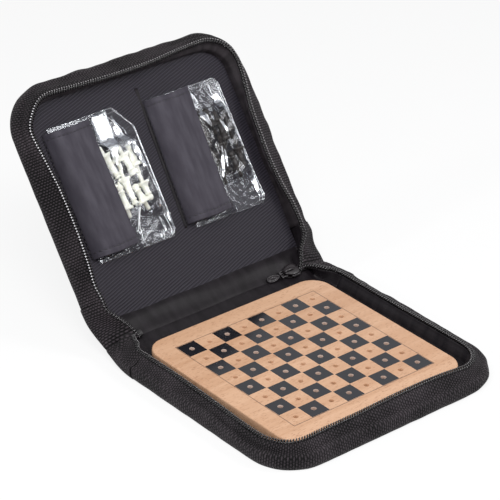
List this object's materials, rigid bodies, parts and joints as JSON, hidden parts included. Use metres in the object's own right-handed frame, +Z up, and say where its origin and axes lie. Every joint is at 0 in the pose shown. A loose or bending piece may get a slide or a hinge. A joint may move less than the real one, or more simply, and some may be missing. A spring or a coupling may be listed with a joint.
{
  "type": "travel chess set",
  "caption": "Zip-up padded fabric case that opens like a book, holding a wooden peg chess board in its base and clear bags of peg chess pieces in pockets in its lid.",
  "frame": {"origin": "centre of the base's underside, on the table", "axes": "+X along the spine, +Y from the case's front edge toward the spine, +Z up from the table"},
  "size_m": [0.143, 0.2209, 0.1121],
  "materials": {
    "cover": "coarse woven nylon",
    "stiffener": "plain",
    "padding": "foam",
    "lining": "fine ribbed satin",
    "zip_tape": "woven tape",
    "zip_coil": "satin",
    "zip_slider": "satin",
    "pocket": "satin",
    "board": "fine grained, clear satin",
    "dark_squares": "stained, satin",
    "film": "clear crinkled film",
    "ivory_pieces": "satin",
    "black_pieces": "satin"
  },
  "bodies": {
    "base": {"base_cover": "cover", "base_stiffener": "stiffener", "base_padding": "padding", "base_lining": "lining", "base_zip_tape": "zip_tape", "base_zip_coil": "zip_coil", "base_zip_stop": "zip_tape"},
    "spine": {"spine_cover": "cover", "spine_stiffener": "stiffener", "spine_lining": "lining", "spine_gusset_left": "cover", "spine_gusset_right": "cover", "zip_slider": "zip_slider"},
    "lid": {"lid_cover": "cover", "lid_stiffener": "stiffener", "lid_padding": "padding", "lid_lining": "lining", "lid_zip_tape": "zip_tape", "lid_zip_coil": "zip_coil", "lid_seam": "lining", "left_pocket": "pocket", "right_pocket": "pocket"},
    "board": {"board": "board", "board_dark_squares": "dark_squares"},
    "white_bag": {"white_bag": "film", "white_king": "ivory_pieces", "white_queen": "ivory_pieces", "white_bishops": "ivory_pieces", "white_knights": "ivory_pieces", "white_rooks": "ivory_pieces", "white_pawns": "ivory_pieces"},
    "black_bag": {"black_bag": "film", "black_king": "black_pieces", "black_queen": "black_pieces", "black_bishops": "black_pieces", "black_knights": "black_pieces", "black_rooks": "black_pieces", "black_pawns": "black_pieces"},
    "pull_tab": {"zip_pull_tab": "zip_slider"}
  },
  "joints": [
    {"name": "spine_fold", "type": "hinge", "parent": "base", "child": "spine", "pos_m": [0, 0.0627, 0.0012], "axis": [1, 0, 0], "range_deg": [-23, 67]},
    {"name": "lid_fold", "type": "hinge", "parent": "spine", "child": "lid", "pos_m": [0, 0.08314, 0.00987], "axis": [1, 0, 0], "range_deg": [-30, 60]},
    {"name": "board_lift", "type": "slide", "parent": "base", "child": "board", "axis": [0, 0, -1], "range_m": [-0.04, 0]},
    {"name": "white_bag_slide", "type": "slide", "parent": "lid", "child": "white_bag", "axis": [1, 0, 0], "range_m": [0, 0.01]},
    {"name": "black_bag_slide", "type": "slide", "parent": "lid", "child": "black_bag", "axis": [1, 0, 0], "range_m": [0, 0.007]},
    {"name": "pull_tab_swing", "type": "hinge", "parent": "spine", "child": "pull_tab", "pos_m": [0.0411, 0.07163, 0.00857], "axis": [0, -0.9205, -0.3907], "range_deg": [-95, 0]}
  ]
}
